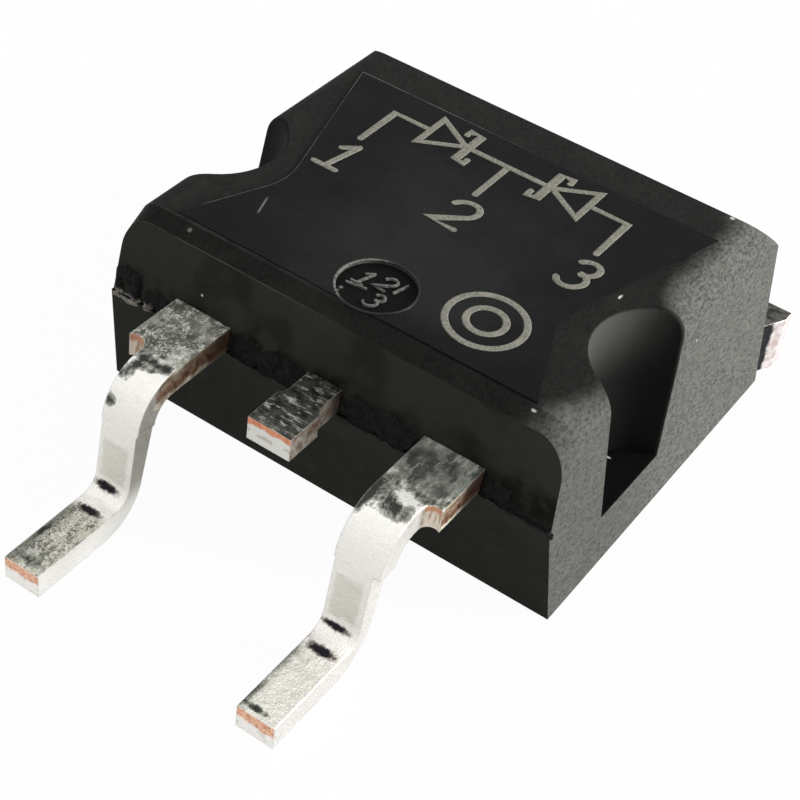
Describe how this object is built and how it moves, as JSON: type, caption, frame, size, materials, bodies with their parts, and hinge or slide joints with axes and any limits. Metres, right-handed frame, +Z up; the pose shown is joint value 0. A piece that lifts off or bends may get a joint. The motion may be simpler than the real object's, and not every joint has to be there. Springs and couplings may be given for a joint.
{
  "type": "surface-mount dual schottky diode",
  "caption": "Surface-mount dual schottky diode in a moulded power package with a copper heat-sink tab, two gull-wing leads and a cut-off middle lead.",
  "frame": {"origin": "bottom centre of the package's bounding box, on the surface that it is soldered to", "axes": "+X across the package to the right lead's side, +Y from the leads' tips to the tab, +Z up"},
  "size_m": [0.0102, 0.0154, 0.0044],
  "materials": {
    "moulding_compound": "black filled epoxy, satin on top and matte grey on the sides",
    "tinned_copper": "dull tin over copper, bare copper where the strip was cut",
    "silicon": "polished silicon",
    "chip_solder": "dull solder",
    "bond_wire": "bright drawn wire"
  },
  "bodies": {
    "root": {"moulded_body": "moulding_compound", "heat_sink_header": "tinned_copper", "anode_lead_right": "tinned_copper", "anode_lead_left": "tinned_copper", "schottky_chip_right": "silicon", "schottky_chip_left": "silicon", "solder_layer_right": "chip_solder", "solder_layer_left": "chip_solder", "bond_wire_right": "bond_wire", "bond_wire_left": "bond_wire"}
  },
  "joints": []
}
